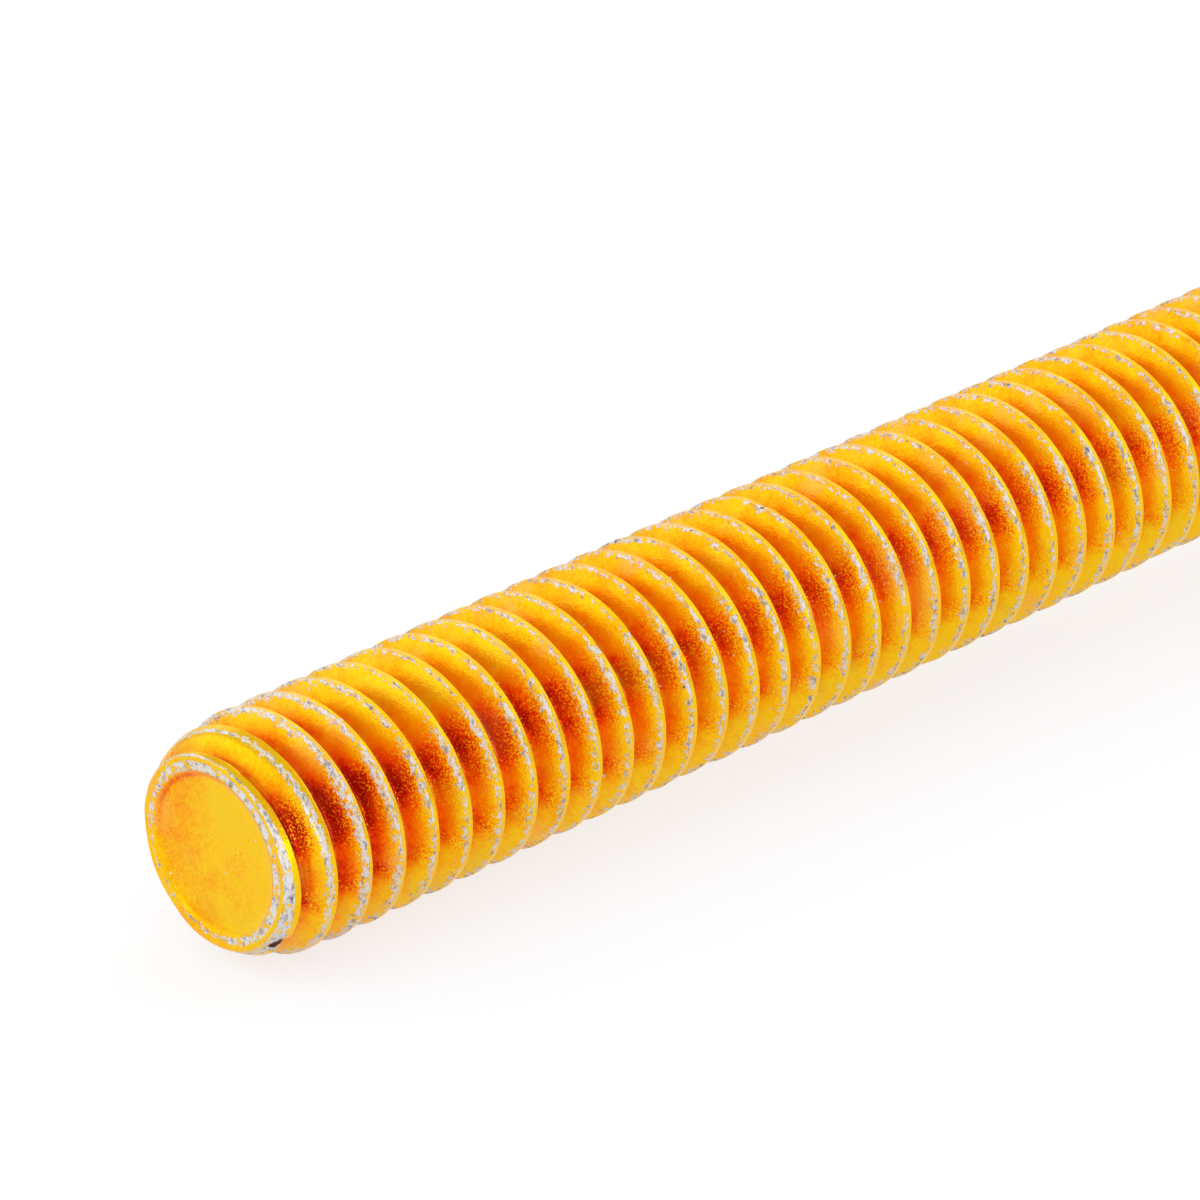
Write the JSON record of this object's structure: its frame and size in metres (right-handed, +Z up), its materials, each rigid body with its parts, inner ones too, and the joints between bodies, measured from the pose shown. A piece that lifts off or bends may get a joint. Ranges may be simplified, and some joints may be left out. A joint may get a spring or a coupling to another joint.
{
  "type": "hex cap screw",
  "caption": "Long steel cap screw with a hexagonal head and a coarse thread almost up to the head, yellow zinc plated.",
  "frame": {"origin": "middle of the part's box, on the ground it lies on", "axes": "+X along the screw towards its head, which lies on one of its flats; the shank slopes 2.3 degrees down to the tip; +Z up"},
  "size_m": [0.069, 0.0146, 0.0129],
  "materials": {
    "yellow_zinc": "yellow zinc chromate on steel, worn to bare grey on the thread's crests and the tip's ring"
  },
  "bodies": {
    "root": {"hex_cap_screw": "yellow_zinc"}
  },
  "joints": []
}
